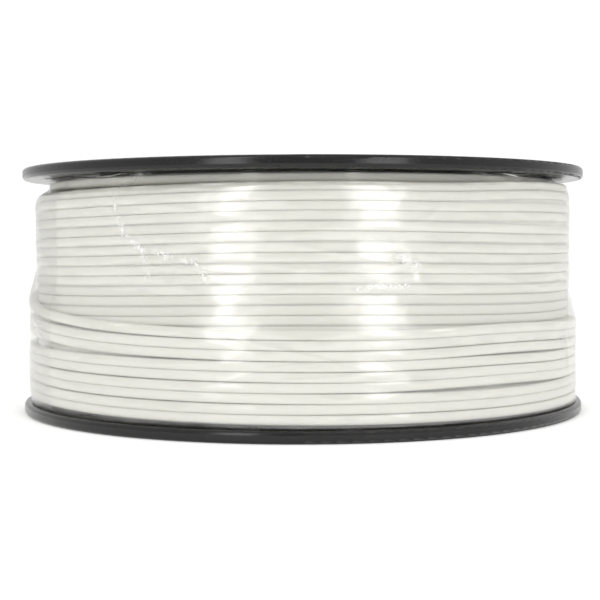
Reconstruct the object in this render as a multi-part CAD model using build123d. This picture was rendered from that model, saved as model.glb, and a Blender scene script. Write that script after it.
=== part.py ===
"""A one-kilogram spool of 3 mm filament: two moulded flanges, a winding drum and an arbor
sleeve, the filament wound on it, the stretch film round the winding and a blank label.

Millimetres. The origin is the centre of the lower flange's outer face, and +Z runs along the
bore towards the upper flange. Angles are degrees from +X, counter-clockwise seen from above.
"""

import os
from math import cos, radians, sin, tan

from build123d import *

# Overall sizes
flange_diameter = 200.0
overall_width = 85.5
bore_diameter = 52.0
drum_diameter = 130.0

# Flanges
rim_thickness = 4.0
rim_width = 4.5
rim_round = 1.3
web_thickness = 2.6
bore_chamfer = 0.6
lip_thickness = 1.5
hub_wall = 3.5
hub_depth = 8.0
spoke_count = 6
spoke_width = 9.0
window_corner = 3.0
window_margin = 3.5
window_to_slot = 3.0
rib_width = 2.0
rib_height = 0.9
ring_rib_width = 2.5
collar_height = 4.0
collar_wall = 2.0
view_slot_count = 3
view_slot_width = 8.0
view_slot_margin = 6.0
tie_hole_spread = 20.0
tie_hole_clearance = 0.9

# Drum and arbor sleeve
drum_wall = 2.4
sleeve_wall = 2.5
fit_clearance = 0.1
hook_width = 8.0
hook_thickness = 1.9
hook_root = 14.0
hook_barb = 0.9
hook_head = 1.0
hook_clearance = 0.1
anchor_above_collar = 3.5
anchor_angle = 120.0

# Filament
filament_diameter = 3.0
turn_clearance = 0.15
layer_share = 0.907
side_gap = 0.4
rim_reserve = 4.5
seat_gap = 0.05
shoulder_turns = 1.15
shoulder_layers = 2
partial_turns = 8
free_end_from = 30.0
free_end_leaves = -108.0
free_end_step = 7.5
free_end_gap = 0.1
free_end_turn_in = 3.0
anchor_depth = 9.0
anchor_rise = 18.0

# Film and label
film_thickness = 0.2
film_gap = 0.75
film_lip = 3.5
film_edge_gap = 0.1
label_thickness = 0.15
label_margin = 3.5
label_span = 56.0
label_angle = 270.0
label_corner = 2.0

# Where things stand
flange_radius = flange_diameter / 2
bore_radius = bore_diameter / 2
drum_radius = drum_diameter / 2
drum_inside = drum_radius - drum_wall
sleeve_radius = bore_radius + sleeve_wall
socket_radius = sleeve_radius + fit_clearance
hub_radius = socket_radius + hub_wall
rim_inside = flange_radius - rim_width
web_outside = rim_thickness - web_thickness
inner_low = rim_thickness
inner_high = overall_width - rim_thickness
spoke_angle = 360 / spoke_count
collar_outside = drum_inside - fit_clearance
hook_inside = drum_inside - hook_thickness
slot_inside = hook_inside - hook_clearance
slot_outside = drum_inside + hook_clearance
window_inside = hub_radius + window_margin
window_outside = slot_inside - window_to_slot

anchor_hole_height = inner_low + collar_height + anchor_above_collar

# The winding: layers from the drum out, turns from the lower flange up
turn_pitch = filament_diameter + turn_clearance
layer_step = filament_diameter * layer_share
strand_radius = filament_diameter / 2
first_layer = drum_radius + seat_gap + strand_radius
layer_count = int((flange_radius - rim_reserve - first_layer - strand_radius) / layer_step) + 1
last_layer = first_layer + (layer_count - 1) * layer_step
full_surface = last_layer + strand_radius
packed_surface = full_surface - filament_diameter - seat_gap
shoulder_surface = full_surface - shoulder_layers * layer_step
winding_low = inner_low + side_gap
winding_high = inner_high - side_gap
full_turns = int((winding_high - winding_low) / turn_pitch - shoulder_turns)
full_high = winding_low + full_turns * turn_pitch
partial_surface = full_surface + layer_step
partial_high = winding_low + partial_turns * turn_pitch
tie_hole_radius = shoulder_surface + free_end_gap + strand_radius
tie_hole_size = strand_radius + tie_hole_clearance
film_inside = partial_surface + film_gap


def polar(radius, angle, height=0.0):
    """A point at a radius and an angle about the spool's axis."""
    return (radius * cos(radians(angle)), radius * sin(radians(angle)), height)


def turned(*points):
    """A solid of revolution from a closed outline of (radius, height) points."""
    outline = Polyline(*[(radius, 0, height) for radius, height in points], close=True)
    return revolve(make_face(outline), axis=Axis.Z)


def ring(inside, outside, low, high):
    """A plain ring about the spool's axis."""
    return turned((inside, low), (outside, low), (outside, high), (inside, high))


def tube(points, section_radius):
    """A round strand along straight runs joined by arcs as large as the runs allow."""
    points = [Vector(*p) for p in points]
    radii = []
    for before, here, after in zip(points, points[1:], points[2:]):
        run_in, run_out = here - before, after - here
        turn = radians(run_in.get_angle(run_out))
        radii.append(0.45 * min(run_in.length, run_out.length) / tan(turn / 2))
    path = FilletPolyline(*points, radius=radii)
    section = Plane(path @ 0, z_dir=path % 0) * Circle(section_radius)
    strand = sweep(section, path=path)
    expected = path.length * section.area
    print(
        f"strand of {path.length:.1f} mm, volume {strand.volume / expected:.4f} of its length times"
        f" its section, radii {min(radii):.1f} to {max(radii):.1f}"
    )
    return strand


def flange_disc():
    """Rim, web, hub socket and the lip that traps the sleeve, with the outer face down."""
    disc = turned(
        (bore_radius, bore_chamfer),
        (bore_radius + bore_chamfer, 0),
        (hub_radius, 0),
        (hub_radius, web_outside),
        (rim_inside, web_outside),
        (rim_inside, 0),
        (flange_radius, 0),
        (flange_radius, rim_thickness),
        (hub_radius, rim_thickness),
        (hub_radius, rim_thickness + hub_depth),
        (socket_radius, rim_thickness + hub_depth),
        (socket_radius, lip_thickness),
        (bore_radius, lip_thickness),
    )
    corners = disc.edges().filter_by(GeomType.CIRCLE).filter_by(
        lambda edge: abs(edge.radius - flange_radius) < 1e-6
    )
    return fillet(corners, rim_round)


def flange_windows():
    """The openings between the spokes, in the hub zone."""
    zone = Circle(window_outside) - Circle(window_inside)
    for i in range(spoke_count):
        zone -= Rot(0, 0, i * spoke_angle) * Pos(window_outside / 2, 0) * Rectangle(
            window_outside + spoke_width, spoke_width
        )
    zone = fillet(zone.vertices(), window_corner)
    return extrude(zone, rim_thickness)


def flange_slots():
    """Slots that show how much filament is left, between the drum and the rim."""
    slot_low = drum_radius + view_slot_margin
    slot_high = rim_inside - view_slot_margin
    slot = SlotOverall(slot_high - slot_low, view_slot_width)
    slots = Part()
    for i in range(view_slot_count):
        angle = spoke_angle / 2 + i * 360 / view_slot_count
        placed = Rot(0, 0, angle) * Pos((slot_low + slot_high) / 2, 0) * slot
        slots += extrude(placed, rim_thickness)
    return slots


def tie_holes():
    """Holes for parking the free end, in pairs just inside the rim."""
    holes = Part()
    for i in range(spoke_count):
        for side in (-1, 1):
            x, y, _ = polar(tie_hole_radius, i * spoke_angle + side * tie_hole_spread)
            holes += Pos(x, y, rim_thickness / 2) * Cylinder(tie_hole_size, 2 * rim_thickness)
    return holes


def hook_slots():
    """Slots that the drum's snap hooks pass through, one for each window."""
    slots = Part()
    for i in range(spoke_count):
        angle = spoke_angle / 2 + i * spoke_angle
        middle = (slot_inside + slot_outside) / 2
        slots += Rot(0, 0, angle) * Pos(middle, 0, rim_thickness / 2) * Box(
            slot_outside - slot_inside, hook_width + 2 * hook_clearance, 2 * rim_thickness
        )
    return slots


def flange_ribs():
    """A rib along each spoke and a ring rib over the drum, on the outer face."""
    low = web_outside - rib_height
    drum_ring = ring(drum_radius - ring_rib_width / 2, drum_radius + ring_rib_width / 2, low, web_outside)
    ribs = drum_ring
    start = hub_radius - hub_wall / 2
    length = drum_radius - start
    for i in range(spoke_count):
        ribs += Rot(0, 0, i * spoke_angle) * Pos(
            start + length / 2, 0, low + rib_height / 2
        ) * Box(length, rib_width, rib_height)
    return ribs


def flange_collar():
    """The ring inside the drum's end that centres it, open where the hooks pass."""
    collar = ring(
        collar_outside - collar_wall, collar_outside, rim_thickness, rim_thickness + collar_height
    )
    for i in range(spoke_count):
        angle = spoke_angle / 2 + i * spoke_angle
        collar -= Rot(0, 0, angle) * Pos(drum_radius, 0, rim_thickness + collar_height / 2) * Box(
            2 * drum_wall + 4 * hook_thickness, hook_width + 2, 2 * collar_height
        )
    return collar


def flange():
    """One flange moulding, outer face down on z = 0."""
    moulding = flange_disc() + flange_ribs()
    moulding = moulding - flange_windows() - flange_slots() - tie_holes() - hook_slots()
    return moulding + flange_collar()


def turned_over(piece):
    """The same moulding at the other end of the spool, outer face up."""
    return Pos(0, 0, overall_width) * Rot(180, 0, 0) * piece


def snap_hook():
    """One tongue from the drum's wall through the flange, with its barb over the web."""
    head_low = web_outside - hook_head
    root_high = inner_low + hook_root
    tongue = Pos((hook_inside + drum_inside) / 2, 0, (head_low + root_high) / 2) * Box(
        drum_inside - hook_inside, hook_width, root_high - head_low
    )
    root = Pos(drum_inside, 0, (inner_low + root_high) / 2) * Box(
        drum_wall, hook_width, root_high - inner_low
    )
    barb_profile = Polyline(
        (hook_inside, 0, web_outside),
        (hook_inside - hook_barb, 0, web_outside),
        (hook_inside, 0, head_low),
        close=True,
    )
    barb = extrude(make_face(barb_profile), hook_width / 2, both=True)
    return tongue + root + barb


def winding_drum():
    """The barrel that the filament is wound on, with snap hooks at both ends."""
    drum = ring(drum_inside, drum_radius, inner_low, inner_high)
    for i in range(spoke_count):
        hook = Rot(0, 0, spoke_angle / 2 + i * spoke_angle) * snap_hook()
        drum += hook
        drum += turned_over(hook)
    anchor_hole = Pos(drum_radius, 0, anchor_hole_height) * Rot(0, 90, 0) * Cylinder(
        tie_hole_size, 4 * drum_wall
    )
    return drum - Rot(0, 0, anchor_angle) * anchor_hole


def arbor_sleeve():
    """The tube that lines the bore between the two flanges' lips."""
    return ring(
        bore_radius,
        sleeve_radius,
        lip_thickness,
        overall_width - lip_thickness,
    )


def scalloped(inside, surface, low, turns):
    """A band of close turns: a ring whose outside has one round ridge for each turn."""
    ridge = turn_pitch * 0.508
    valley = surface - ridge + (ridge**2 - (turn_pitch / 2) ** 2) ** 0.5
    high = low + turns * turn_pitch
    lines = [Line((inside, 0, low), (valley, 0, low))]
    for i in range(turns):
        start = low + i * turn_pitch
        lines.append(
            ThreePointArc(
                (valley, 0, start),
                (surface, 0, start + turn_pitch / 2),
                (valley, 0, start + turn_pitch),
            )
        )
    lines.append(Line((valley, 0, high), (inside, 0, high)))
    lines.append(Line((inside, 0, high), (inside, 0, low)))
    return revolve(make_face(Wire(lines)), axis=Axis.Z)


def filament_packed_layers():
    """All the layers under the last full one, as one solid of their outer shape."""
    return turned(
        (drum_radius + seat_gap, winding_low),
        (packed_surface, winding_low),
        (packed_surface, full_high),
        (shoulder_surface, full_high),
        (shoulder_surface, winding_high),
        (drum_radius + seat_gap, winding_high),
    )


def filament_last_full_layer():
    """The last layer that runs the whole width, short of the upper flange."""
    return scalloped(packed_surface + seat_gap, full_surface, winding_low, full_turns)


def filament_part_layer():
    """The outermost turns, which fill only the lower part."""
    return scalloped(full_surface + seat_gap, partial_surface, winding_low, partial_turns)


def climb(share):
    """The free end's rise as a share of the whole: gentle at first, steep near the flange."""
    return 0.08 * share + 0.92 * share**3


def filament_free_end():
    """The last turn and the free end: level on the part layer, up round the back, through a hole."""
    radius = (full_surface + free_end_gap + strand_radius) / cos(radians(free_end_step / 2))
    low = partial_high + strand_radius + free_end_gap
    high = full_high - strand_radius
    exit_angle = spoke_angle + tie_hole_spread - 360
    last_angle = exit_angle + 2 * free_end_turn_in
    level_steps = round((free_end_from - free_end_leaves) / free_end_step)
    climb_steps = round((free_end_leaves - last_angle) / free_end_step)
    route = []
    for i in range(level_steps):
        share = i / level_steps
        route.append(polar(radius, free_end_from + share * (free_end_leaves - free_end_from), low))
    for i in range(climb_steps + 1):
        share = i / climb_steps
        angle = free_end_leaves + share * (last_angle - free_end_leaves)
        route.append(polar(radius, angle, low + climb(share) * (high - low)))
    over_edge = full_high + 0.9 * strand_radius
    route.append(polar(radius - 0.4 * strand_radius, exit_angle + free_end_turn_in, over_edge))
    route.append(polar(tie_hole_radius, exit_angle, inner_high - 0.6 * strand_radius))
    route.append(polar(tie_hole_radius, exit_angle, overall_width - web_outside + strand_radius / 2))
    return tube(route, strand_radius)


def filament_anchor():
    """The inner end: through the drum's hole and bent up inside."""
    inner = drum_inside - anchor_depth
    return tube(
        [
            polar(drum_radius, anchor_angle, anchor_hole_height),
            polar(inner, anchor_angle, anchor_hole_height),
            polar(inner - strand_radius, anchor_angle, anchor_hole_height + anchor_rise),
        ],
        strand_radius,
    )


def stretch_film():
    """The film round the winding, turned in over its two edges."""
    outside = film_inside + film_thickness
    lip_inside = film_inside - film_lip
    low = inner_low + film_edge_gap
    high = inner_high - film_edge_gap
    return turned(
        (lip_inside, low),
        (outside, low),
        (outside, high),
        (lip_inside, high),
        (lip_inside, high - film_thickness),
        (film_inside, high - film_thickness),
        (film_inside, low + film_thickness),
        (lip_inside, low + film_thickness),
    )


def flange_label():
    """A blank paper label on the upper flange's web, between two viewing slots."""
    inside = drum_radius + ring_rib_width / 2 + label_margin
    outside = tie_hole_radius - tie_hole_size - label_margin
    middle = label_angle
    half = label_span / 2
    sheet = make_face(
        Wire(
            [
                Line(polar(inside, middle - half), polar(outside, middle - half)),
                ThreePointArc(
                    polar(outside, middle - half),
                    polar(outside, middle),
                    polar(outside, middle + half),
                ),
                Line(polar(outside, middle + half), polar(inside, middle + half)),
                ThreePointArc(
                    polar(inside, middle + half),
                    polar(inside, middle),
                    polar(inside, middle - half),
                ),
            ]
        )
    )
    sheet = fillet(sheet.vertices(), label_corner)
    return Pos(0, 0, overall_width - web_outside) * extrude(sheet, label_thickness)


moulding = flange()
nodes = {
    "lower_flange": moulding,
    "upper_flange": turned_over(moulding),
    "winding_drum": winding_drum(),
    "arbor_sleeve": arbor_sleeve(),
    "filament_packed_layers": filament_packed_layers(),
    "filament_last_full_layer": filament_last_full_layer(),
    "filament_part_layer": filament_part_layer(),
    "filament_free_end": filament_free_end(),
    "filament_anchor": filament_anchor(),
    "stretch_film": stretch_film(),
    "flange_label": flange_label(),
}

os.makedirs("parts", exist_ok=True)
for name, shape in nodes.items():
    export_step(shape, f"parts/{name}.step")
print(f"{layer_count} layers, {full_turns} turns in the last full one")
print(f"winding radius {full_surface:.2f} full, {partial_surface:.2f} part, {shoulder_surface:.2f} top turn")
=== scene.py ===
# %% [markdown]
# # A spool of 3 mm filament in stretch film
#
# The real object is a black moulded spool, wound full with an off-white strand and wrapped in clear
# film so that the strand can't spring loose before it is used. The frame brings the hard parts at
# their real size: flanges, drum, sleeve and label. This script adds what the eye looks at: the strand
# as real turns, the film with its creases, the finishes, and a small studio.

# %% Load the frame
import math

import bpy
import numpy as np
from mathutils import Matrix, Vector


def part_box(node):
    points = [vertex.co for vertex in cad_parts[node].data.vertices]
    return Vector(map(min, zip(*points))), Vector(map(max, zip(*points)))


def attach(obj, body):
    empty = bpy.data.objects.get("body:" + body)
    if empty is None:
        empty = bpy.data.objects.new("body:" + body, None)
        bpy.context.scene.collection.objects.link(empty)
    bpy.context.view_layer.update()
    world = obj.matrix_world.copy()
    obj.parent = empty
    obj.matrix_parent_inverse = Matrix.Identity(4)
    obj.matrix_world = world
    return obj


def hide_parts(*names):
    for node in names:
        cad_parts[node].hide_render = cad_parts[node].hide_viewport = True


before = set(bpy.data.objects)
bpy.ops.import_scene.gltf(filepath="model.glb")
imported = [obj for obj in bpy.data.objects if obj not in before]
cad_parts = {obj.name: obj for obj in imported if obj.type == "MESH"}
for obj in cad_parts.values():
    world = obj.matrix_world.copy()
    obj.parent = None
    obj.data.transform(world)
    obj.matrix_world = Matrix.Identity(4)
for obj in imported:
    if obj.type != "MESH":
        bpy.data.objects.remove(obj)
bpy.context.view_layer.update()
print("nodes:", ", ".join(sorted(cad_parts)))

# %% [markdown]
# ## Sizes
#
# Everything is placed from the frame's own boxes, so the winding follows if the spool changes. The
# strand is 3 mm thick and its turns lie 3.15 mm apart, so a hairline shows between them.

# %% Read the sizes
MM = 0.001
STRAND = 1.51 * MM  # half the strand's thickness
OUTER_STRAND = 1.55 * MM  # the same on the outermost turns, which lie further apart and nearly touch
PITCH = 3.15 * MM  # from a turn to the next along the axis
SHOULDER_RADIUS = 89.0 * MM  # centre of the deeper turn under the upper flange
SHOULDER_FOOT = 86.0 * MM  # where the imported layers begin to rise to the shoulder
FRONT = -90.0  # azimuth of the side that faces the camera, in degrees


def outer_radius(node):
    """Half of a node's larger side across the axis."""
    low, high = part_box(node)
    return max(high.x - low.x, high.y - low.y) / 2


full_radius = outer_radius("filament_last_full_layer")
part_radius = outer_radius("filament_part_layer")
packed_radius = outer_radius("filament_packed_layers")
film_radius = outer_radius("stretch_film")
drum_radius = outer_radius("winding_drum")
winding_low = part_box("filament_packed_layers")[0].z
winding_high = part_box("filament_packed_layers")[1].z
full_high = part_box("filament_last_full_layer")[1].z
part_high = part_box("filament_part_layer")[1].z
print(f"winding {winding_low / MM:.1f} to {winding_high / MM:.1f} mm, radius {full_radius / MM:.1f} mm")

# %% [markdown]
# ## Helpers
#
# A colour given as hex is sRGB, and Blender works in linear light, so one function turns one into
# the other. Another adds a shader node with its settings and links, and a third turns arrays of
# points and faces into an object that rides on the spool.


# %% Define the helpers
def linear(hex_colour):
    """sRGB hex to linear RGBA: each channel is ((c + 0.055) / 1.055) to the power 2.4, or c / 12.92."""
    parts = [int(hex_colour[i : i + 2], 16) / 255 for i in (1, 3, 5)]
    return [c / 12.92 if c <= 0.04045 else ((c + 0.055) / 1.055) ** 2.4 for c in parts] + [1.0]


def add_node(material, kind, settings=None, links=None):
    """Adds a node, sets its properties or input sockets by name, and links its inputs by name."""
    node = material.node_tree.nodes.new(kind)
    for key, value in (settings or {}).items():
        if isinstance(key, int) or key in node.inputs:
            node.inputs[key].default_value = value
        else:
            setattr(node, key, value)
    for key, source in (links or {}).items():
        material.node_tree.links.new(source, node.inputs[key])
    return node


def new_material(name):
    """An empty material and its output node."""
    material = bpy.data.materials.new(name)
    material.use_nodes = True
    material.node_tree.nodes.clear()
    return material, add_node(material, "ShaderNodeOutputMaterial")


def give_material(node, material):
    """Puts a material into the slots of a node that came with the frame."""
    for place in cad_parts[node].material_slots:
        place.material = material


def finish_with(material, output, shader):
    """Links a shader to the output."""
    material.node_tree.links.new(shader, output.inputs["Surface"])
    return material


def add_piece(name, points, faces, material, uv=None):
    """A smooth mesh object from an array of points and a list of faces, riding on the spool."""
    mesh = bpy.data.meshes.new(name)
    mesh.from_pydata(points.reshape(-1, 3), [], faces)
    mesh.update()
    mesh.polygons.foreach_set("use_smooth", np.ones(len(mesh.polygons), bool))
    if uv is not None:
        corners = np.empty(len(mesh.loops), np.int32)
        mesh.loops.foreach_get("vertex_index", corners)
        layer = mesh.uv_layers.new(name="along")
        layer.data.foreach_set("uv", uv.reshape(-1, 2)[corners].astype(np.float32).ravel())
    mesh.materials.append(material)
    piece = bpy.data.objects.new(name, mesh)
    bpy.context.scene.collection.objects.link(piece)
    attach(piece, "root")
    print(f"{name}: {len(mesh.vertices)} points, {len(mesh.polygons)} faces")
    return piece


def grid_faces(rows, columns, close_columns=False):
    """Quads between neighbouring rows and columns of a grid of points stored row by row."""
    across = columns if close_columns else columns - 1
    row, column = np.meshgrid(np.arange(rows - 1), np.arange(across), indexing="ij")
    here = row * columns + column
    right = row * columns + (column + 1) % columns
    return np.stack([here, right, right + columns, here + columns], -1).reshape(-1, 4)


def value_noise(shape, cells, seed):
    """Smooth noise from -1 to 1: random values on a coarse grid, eased between by 3t^2 - 2t^3."""
    values = np.random.default_rng(seed).uniform(-1, 1, (cells[0] + 2, cells[1] + 2))
    rows = np.linspace(0, cells[0], shape[0])
    columns = np.linspace(0, cells[1], shape[1])
    r0, c0 = rows.astype(int), columns.astype(int)
    fr, fc = rows - r0, columns - c0
    fr, fc = (3 * fr**2 - 2 * fr**3)[:, None], (3 * fc**2 - 2 * fc**3)[None, :]
    a, b = values[np.ix_(r0, c0)], values[np.ix_(r0, c0 + 1)]
    c, d = values[np.ix_(r0 + 1, c0)], values[np.ix_(r0 + 1, c0 + 1)]
    return (a * (1 - fc) + b * fc) * (1 - fr) + (c * (1 - fc) + d * fc) * fr


# %% [markdown]
# ## The camera and the studio
#
# The spool stands on a pale sweep. A camera level with its upper half, half a metre away, sees the
# winding almost side-on. Two tall softboxes stand a little to each side of the camera. Each shows as
# an upright stripe in the film, and a bright surround keeps the shadows soft. The surround is a little
# darker behind the camera, as a room is, and pure white where it is seen directly. The sweep glows
# faintly, as a white table lit from below does, so that it keeps its white under the spool.

# %% Set the camera
LOOKS_DOWN = 2.455  # degrees below level
LEANS = 0.142  # and to the side, as a hand-set tripod does
TURNS_LEFT = 0.11

camera_data = bpy.data.cameras.new("camera")
camera_data.lens = 83.11
camera_data.sensor_width = 36.0
camera = bpy.data.objects.new("camera", camera_data)
camera.location = (0.0, -0.5057, 0.0602)
camera.rotation_mode = "XYZ"
camera.rotation_euler = (
    math.radians(90 - LOOKS_DOWN),
    math.radians(LEANS),
    math.radians(TURNS_LEFT),
)
bpy.context.scene.collection.objects.link(camera)
bpy.context.scene.camera = camera
print(f"camera {-camera.location.y:.3f} m in front of the axis, lens {camera_data.lens:.0f} mm")


# %% Set the softboxes
BOX_DISTANCE = 1.3
BOX_HEIGHT = 1.5
BOX_CENTRE = 0.70  # height of each softbox's middle


def softbox(name, azimuth, width, power):
    """An upright area light on a circle round the spool, facing the axis."""
    light = bpy.data.lights.new(name, "AREA")
    light.shape = "RECTANGLE"
    light.size = width
    light.size_y = BOX_HEIGHT
    light.energy = power
    lamp = bpy.data.objects.new(name, light)
    angle = math.radians(azimuth)
    lamp.location = (BOX_DISTANCE * math.cos(angle), BOX_DISTANCE * math.sin(angle), BOX_CENTRE)
    lamp.rotation_euler = (math.radians(90), 0, angle + math.radians(90))
    bpy.context.scene.collection.objects.link(lamp)
    return lamp


softbox("softbox_left", FRONT - 27.5, width=0.34, power=4.6)
softbox("softbox_right", FRONT + 30, width=0.38, power=4.8)
print("two softboxes")

# %% Light the surround
ROOM_DARK = 0.54  # strength of the surround behind the camera
ROOM_LIGHT = 0.89  # strength everywhere else
SEEN_WHITE = 1.05  # strength where it is seen directly

world = bpy.data.worlds.new("bright_surround")
world.use_nodes = True
sky = world.node_tree.nodes["Background"]
sky.inputs["Color"].default_value = (1, 1, 1, 1)
direction = add_node(world, "ShaderNodeTexCoord")
axes = add_node(world, "ShaderNodeSeparateXYZ", links={"Vector": direction.outputs["Generated"]})
room = add_node(
    world,
    "ShaderNodeMapRange",
    {"From Min": -0.95, "From Max": -0.35, "To Min": ROOM_DARK, "To Max": ROOM_LIGHT},
    {"Value": axes.outputs["Y"]},
)
seen = add_node(world, "ShaderNodeLightPath")
strength = add_node(
    world,
    "ShaderNodeMix",
    {"data_type": "FLOAT", "B": SEEN_WHITE},
    {"Factor": seen.outputs["Is Camera Ray"], "A": room.outputs["Result"]},
)
world.node_tree.links.new(strength.outputs["Result"], sky.inputs["Strength"])
bpy.context.scene.world = world
bpy.context.scene.view_settings.view_transform = "Standard"
print(f"surround {ROOM_DARK} to {ROOM_LIGHT}, {SEEN_WHITE} where it is seen directly")

# %% Lay the floor
floor_material, floor_output = new_material("pale_sweep")
floor_shader = add_node(
    floor_material,
    "ShaderNodeBsdfPrincipled",
    {
        "Base Color": linear("#fbfbfa"),
        "Roughness": 0.9,
        "Emission Color": (1, 1, 1, 1),
        "Emission Strength": 0.27,
    },
)
finish_with(floor_material, floor_output, floor_shader.outputs["BSDF"])
floor_mesh = bpy.data.meshes.new("floor")
floor_mesh.from_pydata([(-6, -6, 0), (6, -6, 0), (6, 6, 0), (-6, 6, 0)], [], [(0, 1, 2, 3)])
floor_mesh.materials.append(floor_material)
floor = bpy.data.objects.new("floor", floor_mesh)
bpy.context.scene.collection.objects.link(floor)
print("floor", tuple(round(side, 1) for side in floor.dimensions), "m")

# %% [markdown]
# ## Black polystyrene for the spool
#
# Spools are injection-moulded in high-impact polystyrene. A polished mould leaves a deep black gloss
# with faint flow waves, and handling leaves fine dull scuffs, so roughness wanders a little and a
# very shallow bump bends the reflections.

# %% Make the black polystyrene
black, black_output = new_material("moulded_black_polystyrene")
coordinates = add_node(black, "ShaderNodeTexCoord").outputs["Object"]
flow = add_node(
    black, "ShaderNodeTexNoise", {"Scale": 1 / (14 * MM), "Detail": 2.0}, {"Vector": coordinates}
)
scuffs = add_node(
    black,
    "ShaderNodeTexNoise",
    {"Scale": 1 / (0.9 * MM), "Detail": 5.0, "Roughness": 0.7},
    {"Vector": coordinates},
)
dullness = add_node(
    black,
    "ShaderNodeMapRange",
    {"From Min": 0.45, "From Max": 0.75, "To Min": 0.16, "To Max": 0.34},
    {"Value": scuffs.outputs["Fac"]},
)
waves = add_node(
    black,
    "ShaderNodeBump",
    {"Strength": 0.25, "Distance": 0.25 * MM},
    {"Height": flow.outputs["Fac"]},
)
black_shader = add_node(
    black,
    "ShaderNodeBsdfPrincipled",
    {"Base Color": linear("#0a0a0b"), "IOR": 1.47},
    {"Roughness": dullness.outputs["Result"], "Normal": waves.outputs["Normal"]},
)
finish_with(black, black_output, black_shader.outputs["BSDF"])
for name in ("lower_flange", "upper_flange", "winding_drum", "arbor_sleeve"):
    give_material(name, black)
print("black on flanges, drum and sleeve")

# %% [markdown]
# ## Natural ABS for the strand
#
# Unpigmented ABS is a warm off-white that light enters a little way. The strand is drawn through a
# round die and cooled in water, which leaves a satin skin with fine lines along its length. The
# lines follow the strand, so they are drawn from its own map of length and girth.

# %% Make the ABS strand
abs_white, abs_output = new_material("extruded_natural_abs")
strand_map = add_node(abs_white, "ShaderNodeUVMap", {"uv_map": "along"}).outputs["UV"]
die_lines = add_node(
    abs_white,
    "ShaderNodeMapping",
    {"Scale": (1 / (60 * MM), 1 / (0.25 * MM), 1.0)},
    {"Vector": strand_map},
)
lines = add_node(
    abs_white,
    "ShaderNodeTexNoise",
    {"Scale": 1.0, "Detail": 3.0},
    {"Vector": die_lines.outputs["Vector"]},
)
shade_map = add_node(
    abs_white,
    "ShaderNodeMapping",
    {"Scale": (1 / (90 * MM), 1 / (6 * MM), 1.0)},
    {"Vector": strand_map},
)
shade = add_node(
    abs_white,
    "ShaderNodeTexNoise",
    {"Scale": 1.0, "Detail": 2.0},
    {"Vector": shade_map.outputs["Vector"]},
)
tint = add_node(
    abs_white,
    "ShaderNodeMix",
    {"data_type": "RGBA"},
    {"Factor": shade.outputs["Fac"]},
)
tint.inputs[6].default_value = linear("#e3e2d9")
tint.inputs[7].default_value = linear("#e9e8e1")
grooves = add_node(
    abs_white,
    "ShaderNodeBump",
    {"Strength": 0.3, "Distance": 0.02 * MM},
    {"Height": lines.outputs["Fac"]},
)
abs_shader = add_node(
    abs_white,
    "ShaderNodeBsdfPrincipled",
    {
        "Roughness": 0.38,
        "IOR": 1.53,
        "Subsurface Weight": 0.6,
        "Subsurface Scale": 2.0 * MM,
        "Subsurface Radius": (1.0, 0.95, 0.8),
    },
    {"Base Color": tint.outputs[2], "Normal": grooves.outputs["Normal"]},
)
finish_with(abs_white, abs_output, abs_shader.outputs["BSDF"])
print("natural ABS for the strand")

# %% [markdown]
# ## The strand's turns
#
# A winding is one strand laid turn beside turn. It is worked out the way it is wound: each point lies
# one strand's width along the axis from the point a turn earlier, plus whatever gap is left there.
# Adding these steps up keeps the strand in one piece and makes the turns lie in pairs, open a wedge
# here and close there, as a real winding does.


# %% Add up the steps of a winding
STEPS = 240  # points a turn


def winding_heights(turns, step_of, first_turn):
    """Heights turn by turn: the first turn's own line, plus the sum of the steps of earlier turns."""
    share = np.arange(STEPS) / STEPS
    turn = np.arange(turns)[:, None] + share[None, :]
    steps = step_of(turn)
    earlier = np.vstack([np.zeros((1, STEPS)), np.cumsum(steps, axis=0)[:-1]])
    return (first_turn(share)[None, :] + earlier).ravel(), turn.ravel()


def from_front(turn):
    """Degrees from the front, to the right, of a strand that starts at the back and goes clockwise."""
    return 180.0 - 360.0 * (turn % 1.0)


# %% Define a tube along a path
FLATTENED = 0.6  # 1 is a round section, and less is squarer


def strand_points(radius, azimuth, height, girth, half_width):
    """A tube along a path: each ring is its point plus half_width times cosine out and sine up.

    Both are raised to the power FLATTENED, sign kept, which flattens the circle a little where turns
    touch.
    """
    angle = np.radians(azimuth)
    path = np.stack([radius * np.cos(angle), radius * np.sin(angle), height], -1)
    along = np.gradient(path, axis=0)
    length = np.linalg.norm(along, axis=1)
    along /= length[:, None]
    out = np.stack([np.cos(angle), np.sin(angle), np.zeros_like(angle)], -1)
    out -= along * np.sum(out * along, axis=1)[:, None]
    out /= np.linalg.norm(out, axis=1)[:, None]
    up = np.cross(along, out)
    around = np.linspace(0, 2 * np.pi, girth, endpoint=False)
    cosine = np.sign(np.cos(around)) * np.abs(np.cos(around)) ** FLATTENED
    sine = np.sign(np.sin(around)) * np.abs(np.sin(around)) ** FLATTENED
    ring = cosine[None, :, None] * out[:, None] + sine[None, :, None] * up[:, None]
    points = path[:, None] + half_width * ring
    travelled = np.cumsum(length)
    uv = np.stack(
        [
            np.repeat(travelled[:, None], girth, 1),
            np.repeat((half_width * around)[None, :], len(path), 0),
        ],
        -1,
    )
    return points, uv


def add_strand(name, radius, azimuth, height, girth=16, half_width=STRAND):
    """A strand with closed ends as a piece."""
    points, uv = strand_points(radius, azimuth, height, girth, half_width)
    rows = len(points)
    faces = grid_faces(rows, girth, close_columns=True).tolist()
    first = list(range(girth))
    last = [(rows - 1) * girth + i for i in first]
    faces += [first[::-1], last]
    return add_piece(name, points, faces, abs_white, uv)


# %% [markdown]
# The last full layer was wound downwards, clockwise seen from above. Its turns bow up a little at
# the front, where the strand was guided, and lie in pairs. It begins with one turn that lies deeper,
# on the shoulder under the upper flange, and drops out to the full radius at the back.


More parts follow.
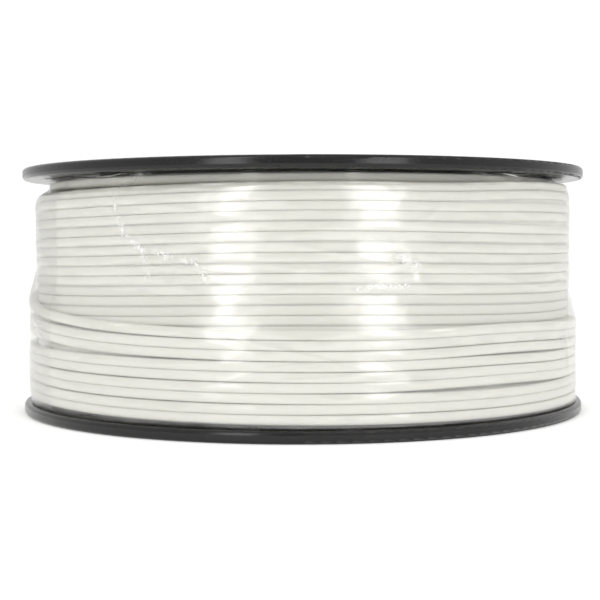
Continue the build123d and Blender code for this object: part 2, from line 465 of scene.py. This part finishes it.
# %% Define how turns differ
def pair_up(turn):
    """Plus one and minus one on alternate turns, changing over quickly at the back."""
    return np.tanh(6 * np.cos(np.pi * turn)) / np.tanh(6)


def slow_wander(turn, seed, size):
    """A sum of three sines of the turn count, so that neighbouring turns differ a little."""
    rng = np.random.default_rng(seed)
    waves = [(rng.uniform(0.6, 3.4), rng.uniform(0, 2 * np.pi)) for _ in range(3)]
    return size / 3 * sum(np.sin(2 * np.pi * (rate * turn) + phase) for rate, phase in waves)


def ease(share):
    """From 0 to 1 with level ends: 3t^2 - 2t^3."""
    share = np.clip(share, 0, 1)
    return 3 * share**2 - 2 * share**3


def bump(value, centre, width):
    """A bell curve: e to the minus squared distance over width."""
    return np.exp(-(((value - centre) / width) ** 2))


# %% Wind the last full layer
FULL_PAIRING = 0.14 * MM  # how much nearer or further apart alternate turns lie
FULL_WANDER = 0.08 * MM  # how much single turns stray
BOW = 1.8 * MM  # how far the turns rise at the front
WEDGE = 0.9  # opening of the two wedges at the right, in mm


def full_step(turn):
    """The step down from a turn to the next: a pitch, give or take the pairing and some wander."""
    return -(PITCH + FULL_PAIRING * pair_up(turn + 0.5) + slow_wander(turn, 5, FULL_WANDER))


full_turns = int((full_high - winding_low) / PITCH) - 1
full_z, full_turn = winding_heights(
    full_turns, full_step, lambda share: full_high + 0.15 * MM + share * full_step(0.0)
)
bow = BOW * bump(from_front(full_turn), 0, 42)
bow *= ease((full_z - winding_low) / (20 * MM))
bow *= 0.55 + 0.45 * ease((full_high - full_z) / (12 * MM))
side = ease((from_front(full_turn) - 22) / 38) * (1 - ease((from_front(full_turn) - 105) / 65))
opened = WEDGE * (1 - ease((full_turn - 1.5) / 0.5)) + WEDGE * (1 - ease((full_turn - 3.5) / 0.5))
full_z = full_z + bow + opened * side * MM
full_centre = full_radius - STRAND + 0.08 * MM * pair_up(full_turn)
full_centre = full_centre - 0.9 * MM * (1 - ease((full_turn - 0.7) / 0.4))

# %% Add the deeper turn on the shoulder
SHOULDER_TURNS = 1.12
DROP_TURNS = 0.13  # the share of a turn in which it comes out to the full radius

shoulder_turn = np.arange(-round(SHOULDER_TURNS * STEPS), 0) / STEPS
drop_out = ease((shoulder_turn + DROP_TURNS) / DROP_TURNS)
shoulder_centre = SHOULDER_RADIUS + (full_centre[0] - SHOULDER_RADIUS) * drop_out
shoulder_centre = shoulder_centre - 4 * MM * (1 - ease((shoulder_turn + SHOULDER_TURNS) / 0.1))
shoulder_z = full_high + 2.3 * MM + 0.25 * MM * np.sin(2 * np.pi * shoulder_turn)
shoulder_z = shoulder_z + (full_z[0] - shoulder_z) * drop_out

top_turn = np.concatenate([shoulder_turn, full_turn])
top_centre = np.concatenate([shoulder_centre, full_centre])
top_z = np.concatenate([shoulder_z, full_z])
full_layer = add_strand("filament_full_layer", top_centre, FRONT + from_front(top_turn), top_z)
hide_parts("filament_last_full_layer")

# %% [markdown]
# The outermost turns were wound back upwards and fill only the lower part. At the left of the front
# the last two sweep up, and the very last leaves the layer. It climbs round the back over the full
# layer, turns in over the shoulder and is parked in a tie hole of the upper flange.


# %% Wind the part layer
PART_SLACK = 0.05 * MM  # the outermost turns lie this much further apart
PART_PAIRING = 0.17 * MM


def part_step(turn):
    """The step up from a turn to the next: a pitch, the pairing, and a few wedge-shaped gaps."""
    degrees = from_front(turn)
    step = PITCH + PART_SLACK + PART_PAIRING * pair_up(turn)
    step = step - 0.14 * MM * bump(degrees, 45, 40)
    step = step + 1.0 * MM * bump(degrees, 38, 20) * bump(turn, 2.39, 0.3)
    step = step + 0.8 * MM * bump(degrees, 50, 22) * bump(turn, 5.36, 0.3)
    return step + 3.0 * MM * bump(degrees, -80, 34) * bump(turn, 5.72, 0.4)


part_turns = int(round((part_high - winding_low) / PITCH)) + 1
part_low = winding_low + STRAND - 0.2 * MM
part_z, part_turn = winding_heights(
    part_turns, part_step, lambda share: part_low + share**1.5 * part_step(0.0)
)
kept = part_turn < part_turns - 0.5
part_z, part_turn = part_z[kept], part_turn[kept]
part_centre = part_radius - STRAND - 0.05 * MM + 0.06 * MM * pair_up(part_turn)
step_up = ease(part_turn / 0.15)
part_centre = part_centre * step_up + (full_radius - STRAND) * (1 - step_up)
print(f"{part_turns} turns, from {part_low / MM:.1f} to {part_z.max() / MM:.1f} mm")

# %% Lead the free end to its tie hole
TIE_RADIUS = 91.42 * MM  # distance of the tie hole from the axis

free_degrees = np.arange(1, 187 * STEPS // 360) * 360 / STEPS
free_share = free_degrees / free_degrees[-1]
free_rise = full_high - STRAND - part_z[-1]
free_z = part_z[-1] + free_rise * (0.035 * free_share + 0.965 * free_share**2.3)
free_centre = np.full_like(free_z, part_centre[-1])

hole_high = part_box("filament_free_end")[1]
tie_share = np.linspace(0, 1, 26)[1:]
over = ease(tie_share / 0.62)
tie_degrees = free_degrees[-1] + 5.0 * ease(tie_share / 0.7)
tie_centre = free_centre[-1] + (TIE_RADIUS - free_centre[-1]) * over
tie_z = free_z[-1] + (hole_high.z - free_z[-1]) * (0.6 * tie_share + 0.4 * tie_share**2)

last_turn = np.concatenate(
    [part_turn, part_turn[-1] + free_degrees / 360, part_turn[-1] + tie_degrees / 360]
)
last_centre = np.concatenate([part_centre, free_centre, tie_centre])
last_z = np.concatenate([part_z, free_z, tie_z])
last_degrees = 180.0 - 360.0 * last_turn
part_layer = add_strand(
    "filament_part_layer_and_end", last_centre, FRONT + last_degrees, last_z, half_width=OUTER_STRAND
)
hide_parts("filament_part_layer", "filament_free_end")
print(f"free end leaves at {part_z[-1] / MM:.1f} mm and ends at {last_z[-1] / MM:.1f} mm")

# %% [markdown]
# The layers underneath show only at their ends, through the slots of the flanges, and as a paler
# ground in the hairlines. One turned body does for them, with a round ridge for each layer.


# %% Define a turned body
def turned_body(name, radii, heights, segments, material):
    """A solid of revolution from a closed outline: each outline point goes round the axis."""
    angle = np.linspace(0, 2 * np.pi, segments, endpoint=False)
    points = np.stack(
        [
            radii[:, None] * np.cos(angle),
            radii[:, None] * np.sin(angle),
            np.repeat(heights[:, None], segments, 1),
        ],
        -1,
    )
    faces = grid_faces(len(radii), segments, close_columns=True)
    last = (len(radii) - 1) * segments + np.arange(segments)
    first = np.arange(segments)
    closing = np.stack([last, np.roll(last, -1), np.roll(first, -1), first], -1)
    uv = np.stack(
        [
            np.repeat((radii.mean() * angle)[None, :], len(radii), 0),
            np.repeat((radii + heights)[:, None], segments, 1),
        ],
        -1,
    )
    return add_piece(name, points, np.concatenate([faces, closing]).tolist(), material, uv)


# %% Trace the layers' ends and turn them
layer_step = part_radius - full_radius
ridge_steps = 12  # points on each layer's ridge
layers_out = np.arange(0, (packed_radius - drum_radius) / layer_step - 0.5, 1 / ridge_steps)
flank_radius = drum_radius + 0.05 * MM + layers_out * layer_step
across_ridge = 2 * (layers_out % 1.0) - 1
ridge = STRAND * (1 - np.sqrt(np.clip(1 - 0.98 * across_ridge**2, 0, None)))
bottom_z = winding_low + 0.02 * MM + ridge
on_shoulder = flank_radius < SHOULDER_FOOT
top_z_flank = winding_high - 0.02 * MM - ridge[on_shoulder]
ground_radius = full_radius - 0.62 * STRAND
outline_r = np.concatenate(
    [
        flank_radius,
        [packed_radius, ground_radius, ground_radius, packed_radius, SHOULDER_FOOT],
        flank_radius[on_shoulder][::-1],
    ]
)
outline_z = np.concatenate(
    [
        bottom_z,
        bottom_z[-1] + np.array([0.6, 1.4]) * STRAND,
        full_high - np.array([3.6, 0.3, 0.2]) * MM,
        top_z_flank[::-1],
    ]
)
packed = turned_body(
    "filament_packed_layers_ends", outline_r, outline_z, 160, abs_white
)
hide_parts("filament_packed_layers")

# %% [markdown]
# ## The stretch film
#
# Stretch film is linear low-density polyethylene about 0.02 mm thick, pulled tight in several wraps.
# It touches the strand at the crown of each turn and spans the grooves, so it is worked out from the
# turns: first their outline, then the outline widened with a slope as a tent is over its poles, then
# smoothed. Creases and a slight waviness are added, because these break the two reflections into
# ragged stripes. The film is wider than the winding, and its margins tuck in under the flanges.

# %% Lay out the film's grid
FILM_COLUMNS = 600
FILM_ROWS = 142
film_wraps = 1.08
film_start = -58.0
film_span = np.linspace(0, 360 * film_wraps, FILM_COLUMNS)
film_degrees = film_start - film_span
wrapped = (film_degrees + 180.0) % 360.0 - 180.0
film_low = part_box("stretch_film")[0].z + 0.05 * MM
film_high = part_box("stretch_film")[1].z - 0.05 * MM
film_z = np.linspace(film_low, film_high, FILM_ROWS)
row_step = film_z[1] - film_z[0]
print(f"film grid of {FILM_ROWS} rows, {row_step / MM:.2f} mm apart, and {FILM_COLUMNS} columns")


# %% Find the outline of the turns
def around(centre, height, turn, index):
    """One turn's centre and height at every column of the film, or far inside where it is absent."""
    chosen = np.floor(turn + 1e-9) == index
    degrees = 180.0 - 360.0 * (turn[chosen] - index)
    order = np.argsort(degrees)
    reach = degrees[order]
    ends = {"left": 0.0, "right": 0.0} if reach[-1] - reach[0] < 357 else {}
    radius = np.interp(wrapped, reach, centre[chosen][order], **ends)
    level = np.interp(wrapped, reach, height[chosen][order], **ends)
    return radius, level


def crowns(offset):
    """The turns' outline: for each turn, its centre plus the height of a circle over it."""
    outline = np.full((FILM_ROWS, FILM_COLUMNS), 0.0)
    for turn, centre, height in ((top_turn, top_centre, top_z), (last_turn, last_centre, last_z)):
        for index in range(int(np.floor(turn[0])), int(np.ceil(turn[-1]))):
            radius, level = around(centre, height, turn, index)
            across = (STRAND + offset) ** 2 - (film_z[:, None] - level[None, :]) ** 2
            lifted = radius[None, :] + np.sqrt(np.clip(across, 0, None))
            outline = np.maximum(outline, np.where(across > 0, lifted, 0.0))
    return outline


def slide(rows, reach, choose):
    """The largest or smallest value within reach rows up and down."""
    padded = np.pad(rows, ((reach, reach), (0, 0)), mode="edge")
    return choose.reduce([padded[k : k + len(rows)] for k in range(2 * reach + 1)])


# %% Stretch the film over the turns
TENT_SLOPE = 0.26  # how steeply the film falls away from a crown
SHOULDER_SLOPE = 1.9  # and over the edge of the shoulder
SAG = 0.05  # the share of a groove's depth that the film sinks into it

outline = crowns(0.25 * MM)
spanned = slide(slide(outline, 3, np.maximum), 3, np.minimum)
spanned = spanned - SAG * np.minimum(spanned - outline, 1.5 * MM)
slope = np.where(film_z > full_high - 0.5 * MM, SHOULDER_SLOPE, TENT_SLOPE)
climb = np.cumsum(slope) * row_step
tent = spanned.copy()
for shift in range(1, 26):
    fall = (climb[shift:] - climb[:-shift])[:, None]
    tent[shift:] = np.maximum(tent[shift:], spanned[:-shift] - fall)
    tent[:-shift] = np.maximum(tent[:-shift], spanned[shift:] - fall)


def soften(rows, width, sideways):
    """A bell-shaped average over the rows, and a plain one over a few columns."""
    reach = np.arange(-5, 6)
    weights = np.exp(-((reach * row_step / width) ** 2))
    padded = np.pad(rows, ((5, 5), (0, 0)), mode="edge")
    mixed = sum(w * padded[5 + k : 5 + k + len(rows)] for k, w in zip(reach, weights / weights.sum()))
    padded = np.pad(mixed, ((0, 0), (sideways, sideways)), mode="edge")
    return sum(padded[:, k : k + rows.shape[1]] for k in range(2 * sideways + 1)) / (2 * sideways + 1)


taut = np.maximum(soften(tent, 0.9 * MM, 3), crowns(0.15 * MM))
print(f"film radius {taut.min() / MM:.1f} to {taut.max() / MM:.1f} mm")


# %% [markdown]
# A crease is a sharp little ridge along a short line. Most follow the pull of the wrapping, nearly
# level, and some run across it where the film slipped. Each is a fold line with a height that falls
# off exponentially to the sides.


# %% Define creases and facets
def creases(count, seed, level_share, near=None):
    """Sum of ridges: height times e^(-distance / width), fading at each line's two ends."""
    rng = np.random.default_rng(seed)
    arc = np.radians(film_span)[None, :] * film_radius
    total = np.zeros((FILM_ROWS, FILM_COLUMNS))
    for _ in range(count):
        at_degrees, at_z = rng.uniform(0, 360), rng.uniform(film_low, film_high)
        if near is not None:
            at_degrees = rng.normal(near[0], near[1])
            at_z = rng.normal(near[2], near[3])
        at = np.radians((film_start - at_degrees) % 360.0) * film_radius
        level = rng.uniform() < level_share
        slant = rng.normal(0, 0.13) if level else rng.choice([-1, 1]) * rng.uniform(0.5, 1.3)
        half_length = rng.uniform(9, 34) * MM if level else rng.uniform(3, 12) * MM
        width, height = rng.uniform(0.45, 1.1) * MM, rng.uniform(0.05, 0.24) * MM
        x, y = arc - at, film_z[:, None] - at_z
        along = x * np.cos(slant) + y * np.sin(slant)
        away = -x * np.sin(slant) + y * np.cos(slant)
        total += height * np.exp(-np.abs(away) / width - (along / half_length) ** 4)
    return total


def facets(count, seed, size):
    """Flat facets: triangle waves in several directions, each fading in and out over the film."""
    rng = np.random.default_rng(seed)
    arc = np.radians(film_span)[None, :] * film_radius
    total = np.zeros((FILM_ROWS, FILM_COLUMNS))
    for _ in range(count):
        slant = rng.uniform(-1.2, 1.2)
        length = rng.uniform(11, 26) * MM
        phase = (arc * np.cos(slant) + film_z[:, None] * np.sin(slant)) / length + rng.uniform()
        shown = value_noise(total.shape, (6, 22), int(rng.integers(1000)))
        total += size * np.clip(shown, 0, 1) * (4 * np.abs(phase % 1.0 - 0.5) - 1)
    return total


# %% Crease the film
shape = (FILM_ROWS, FILM_COLUMNS)
wrinkles = creases(170, 11, 0.75)
wrinkles += creases(20, 12, 0.35, near=(-38, 5, 68 * MM, 7 * MM))
wrinkles += creases(18, 13, 0.4, near=(-24, 7, 51 * MM, 4 * MM))
wrinkles += creases(16, 14, 0.4, near=(40, 12, 70 * MM, 8 * MM))
wander = 0.2 * MM * value_noise(shape, (18, 44), 21)
wander += 0.05 * MM * value_noise(shape, (44, 90), 22)
wander += 0.015 * MM * value_noise(shape, (70, 190), 23)
overlap = 0.2 * MM * ease((film_span - 330) / 30)[None, :]
away_from_top = 1 - ease((film_z - full_high) / (3 * MM))[:, None]
unevenness = (wrinkles + wander + facets(9, 41, 0.12 * MM)) * (0.3 + 0.7 * away_from_top)
film_r = np.maximum(taut + unevenness, crowns(0.06 * MM)) + overlap
print(f"creases and facets from {unevenness.min() / MM:.2f} to {unevenness.max() / MM:.2f} mm")

# %% [markdown]
# In a few places the film was caught and dragged while it was wrapped, and it is crumpled along a
# line there. The mesh carries a number that says how crumpled each point is, for the material.


# %% Mark the crumpled places
def near_path(path, width):
    """A bell of the distance from a path of (degrees, height) points, measured on the film."""
    x, y = np.broadcast_arrays(np.radians(wrapped)[None, :] * film_radius, film_z[:, None])
    nearest = np.full(shape, 1.0)
    corners = [(math.radians(degrees) * film_radius, level * MM) for degrees, level in path]
    for (x0, y0), (x1, y1) in zip(corners[:-1], corners[1:]):
        length = (x1 - x0) ** 2 + (y1 - y0) ** 2
        share = np.clip(((x - x0) * (x1 - x0) + (y - y0) * (y1 - y0)) / length, 0, 1)
        distance = np.hypot(x - x0 - share * (x1 - x0), y - y0 - share * (y1 - y0))
        nearest = np.minimum(nearest, distance)
    return np.exp(-((nearest / (width * MM)) ** 2))


crumple = near_path([(-34, 80), (-37.5, 76), (-37, 70), (-35, 62), (-30.5, 57), (-29.5, 49)], 1.05)
crumple += 0.9 * near_path([(-28, 57), (-25, 55), (-20, 54), (-17.5, 48.5)], 0.9)
crumple += 0.8 * near_path([(17, 55), (21, 53)], 1.3) + 0.7 * near_path([(10, 46), (19, 47)], 1.2)
crumple += 0.7 * near_path([(62, 30), (64, 20)], 1.8) + 0.7 * near_path([(-66, 33), (-62, 26)], 2.0)
crumple += 0.9 * near_path([(150, 60), (160, 45), (171, 41)], 2.0)
crumple += 0.9 * near_path([(-120, 70), (-112, 52), (-104, 49)], 1.8)
crumple = np.clip(crumple, 0, 1) * np.clip(0.9 + 0.8 * value_noise(shape, (26, 110), 52), 0.35, 1)
film_r = film_r + 0.25 * MM * crumple * value_noise(shape, (75, 300), 51)
print(f"{(crumple > 0.3).mean():.1%} of the film is crumpled")

# %% [markdown]
# The margins: past the winding's ends the film turns in under the flange, and its loose edge
# ruffles. In three places it was drawn outwards instead, and is bunched up against the flange. Over
# the shoulder the film lies in one thin wrap only, so the mesh also carries a share of its wraps.

# %% Tuck in the margins
MARGIN_RUFFLE = 0.8 * MM
BUNCH_REACH = 6.5 * MM  # how far a bunched edge stands out

margin_rows = 10
tuck = np.linspace(0, 1, margin_rows + 1)[1:]
ruffle = value_noise((margin_rows, FILM_COLUMNS), (3, 170), 31)
bunched = bump(wrapped, -40, 6) + bump(wrapped, 43, 5) + 0.6 * bump(wrapped, -130, 9)


def margin(edge, depth, lift, bunch):
    """Rows from the film's edge inwards, or outwards where it is bunched, with a growing ruffle."""
    inwards = -depth * (1 - bunch) + BUNCH_REACH * bunch
    radius = edge[None, :] + (inwards + MARGIN_RUFFLE * ruffle) * tuck[:, None]
    raised = lift * (0.3 + 1.7 * bunch) * tuck[:, None] * (0.5 + 0.5 * ruffle)
    return radius, raised


top_r, top_drop = margin(film_r[-1], 4.5 * MM, 1.1 * MM, bunched)
low_r, low_lift = margin(film_r[0], 3.0 * MM, 0.6 * MM, 0 * bunched)
all_r = np.concatenate([low_r[::-1], film_r, top_r])
all_z = np.concatenate(
    [
        film_z[0] + low_lift[::-1],
        np.repeat(film_z[:, None], FILM_COLUMNS, 1),
        film_z[-1] - top_drop,
    ]
)
margin_crumple = np.repeat(0.1 + 3.5 * np.clip(bunched, 0, 1)[None, :], margin_rows, 0)
all_crumple = np.concatenate([0.3 * margin_crumple, crumple, margin_crumple])
wraps = 1 - 0.85 * ease((film_z - full_high) / (1.5 * MM))
all_wraps = np.repeat(
    np.concatenate([np.full(margin_rows, 0.5), wraps, np.full(margin_rows, wraps[-1])])[:, None],
    FILM_COLUMNS,
    1,
)
angle = np.radians(FRONT + film_degrees)[None, :]
film_points = np.stack([all_r * np.cos(angle), all_r * np.sin(angle), all_z], -1)
rows_up = np.linalg.norm(np.diff(film_points, axis=0, prepend=film_points[:1]), axis=-1)
film_arc = np.repeat((np.radians(film_span) * film_radius)[None, :], len(all_r), 0)
film_uv = np.stack([film_arc, np.cumsum(rows_up, 0)], -1)

# %% [markdown]
# ## Clear polyethylene
#
# Each wrap has two faces that mirror about 4% each, so two wraps together mirror about a seventh of
# the light head-on and most of it at a glancing angle, and let the rest straight through. Creases
# scatter light and look white. The shader mixes a see-through and a mirroring part in that share.

# %% Map the film's pull and its folds
film_clear, film_output = new_material("clear_stretch_polyethylene")
film_map = add_node(film_clear, "ShaderNodeUVMap", {"uv_map": "along"}).outputs["UV"]
pull_map = add_node(
    film_clear,
    "ShaderNodeMapping",
    {"Scale": (1 / (16 * MM), 1 / (1.6 * MM), 1.0)},
    {"Vector": film_map},
)
pull = add_node(
    film_clear,
    "ShaderNodeTexNoise",
    {"Scale": 1.0, "Detail": 4.0, "Roughness": 0.6, "Distortion": 0.6},
    {"Vector": pull_map.outputs["Vector"]},
)
crumpled = add_node(film_clear, "ShaderNodeAttribute", {"attribute_name": "crumple"})
crinkle = add_node(
    film_clear,
    "ShaderNodeTexNoise",
    {"Scale": 1 / (2.6 * MM), "Detail": 3.0, "Roughness": 0.6, "Distortion": 1.2},
    {"Vector": film_map},
)
from_middle = add_node(
    film_clear, "ShaderNodeMath", {"operation": "SUBTRACT", 1: 0.5}, {0: crinkle.outputs["Fac"]}
)
either_way = add_node(
    film_clear, "ShaderNodeMath", {"operation": "ABSOLUTE"}, {0: from_middle.outputs[0]}
)
fold_lines = add_node(
    film_clear,
    "ShaderNodeMapRange",
    {"From Min": 0.0, "From Max": 0.045, "To Min": 1.0, "To Max": 0.0},
    {"Value": either_way.outputs[0]},
)
folds = add_node(
    film_clear,
    "ShaderNodeMath",
    {"operation": "MULTIPLY"},
    {0: fold_lines.outputs["Result"], 1: crumpled.outputs["Fac"]},
)
print("fine waves along the pull, fold lines where the film is crumpled")

# %% Bend the film's reflections
MIRROR_HEAD_ON = 0.145
MIRROR_GLANCING = 0.6

pull_bump = add_node(
    film_clear,
    "ShaderNodeBump",
    {"Strength": 0.5, "Distance": 0.10 * MM},
    {"Height": pull.outputs["Fac"]},
)
fold_bump = add_node(
    film_clear,
    "ShaderNodeBump",
    {"Strength": 0.6, "Distance": 0.14 * MM},
    {"Height": folds.outputs[0], "Normal": pull_bump.outputs["Normal"]},
)
facing = add_node(
    film_clear, "ShaderNodeLayerWeight", {"Blend": 0.22}, {"Normal": fold_bump.outputs["Normal"]}
)
one_wrap = add_node(
    film_clear,
    "ShaderNodeMapRange",
    {"From Min": 0.0, "From Max": 1.0, "To Min": MIRROR_HEAD_ON, "To Max": MIRROR_GLANCING},
    {"Value": facing.outputs["Fresnel"]},
)
print("bumps of the pull and the folds, and the mirror share of a wrap")

# %% Share the light out between mirror, haze and clear
FOLD_MIRROR = 0.45  # how much more a fold mirrors
FOLD_VEIL = 0.10  # how much a crumpled place is veiled between its folds
HAZE_SMOOTH = 0.03
HAZE_FOLDED = 0.95

layers = add_node(film_clear, "ShaderNodeAttribute", {"attribute_name": "wraps"})
all_wraps_share = add_node(
    film_clear,
    "ShaderNodeMath",
    {"operation": "MULTIPLY"},
    {0: one_wrap.outputs["Result"], 1: layers.outputs["Fac"]},
)
mirror_share = add_node(
    film_clear,
    "ShaderNodeMath",
    {"operation": "MULTIPLY_ADD", 1: FOLD_MIRROR, "use_clamp": True},
    {0: folds.outputs[0], 2: all_wraps_share.outputs[0]},
)
veiled = add_node(
    film_clear,
    "ShaderNodeMath",
    {"operation": "MULTIPLY_ADD", 1: FOLD_VEIL, "use_clamp": True},
    {0: crumpled.outputs["Fac"], 2: folds.outputs[0]},
)
haze_share = add_node(
    film_clear,
    "ShaderNodeMapRange",
    {"From Min": 0.0, "From Max": 1.0, "To Min": HAZE_SMOOTH, "To Max": HAZE_FOLDED},
    {"Value": veiled.outputs[0]},
)
clear_part = add_node(film_clear, "ShaderNodeBsdfTransparent", {"Color": (0.985, 0.985, 0.98, 1)})
mirror_part = add_node(
    film_clear,
    "ShaderNodeBsdfPrincipled",
    {"Base Color": (1, 1, 1, 1), "Metallic": 1.0, "Roughness": 0.21},
    {"Normal": fold_bump.outputs["Normal"]},
)
haze_part = add_node(
    film_clear,
    "ShaderNodeBsdfPrincipled",
    {"Base Color": linear("#fdfdfd"), "Roughness": 0.5},
)
clear_or_haze = add_node(
    film_clear,
    "ShaderNodeMixShader",
    links={0: haze_share.outputs["Result"], 1: clear_part.outputs[0], 2: haze_part.outputs[0]},
)
film_shader = add_node(
    film_clear,
    "ShaderNodeMixShader",
    links={0: mirror_share.outputs[0], 1: clear_or_haze.outputs[0], 2: mirror_part.outputs[0]},
)
finish_with(film_clear, film_output, film_shader.outputs[0])
print("clear polyethylene for the film")

# %% Lay the film round the winding
film = add_piece(
    "stretch_film_wrap",
    film_points,
    grid_faces(len(all_r), FILM_COLUMNS)[:, ::-1].tolist(),
    film_clear,
    film_uv,
)
for mark, values in (("crumple", all_crumple), ("wraps", all_wraps)):
    marks = film.data.attributes.new(mark, "FLOAT", "POINT")
    marks.data.foreach_set("value", values.astype(np.float32).ravel())
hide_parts("stretch_film")

# %% [markdown]
# ## The label
#
# A spool carries a coated paper label with its colour and size. This one is blank.

# %% Make the label's paper and the anchor's strand
paper, paper_output = new_material("coated_label_paper")
paper_coordinates = add_node(paper, "ShaderNodeTexCoord").outputs["Object"]
fibres = add_node(
    paper, "ShaderNodeTexNoise", {"Scale": 1 / (0.6 * MM), "Detail": 4.0}, {"Vector": paper_coordinates}
)
paper_bump = add_node(
    paper, "ShaderNodeBump", {"Strength": 0.2, "Distance": 0.02 * MM}, {"Height": fibres.outputs["Fac"]}
)
paper_shader = add_node(
    paper,
    "ShaderNodeBsdfPrincipled",
    {"Base Color": linear("#eeeeea"), "Roughness": 0.45},
    {"Normal": paper_bump.outputs["Normal"]},
)
finish_with(paper, paper_output, paper_shader.outputs["BSDF"])
give_material("flange_label", paper)
give_material("filament_anchor", abs_white)
print("paper on the label, strand material on its anchored end")
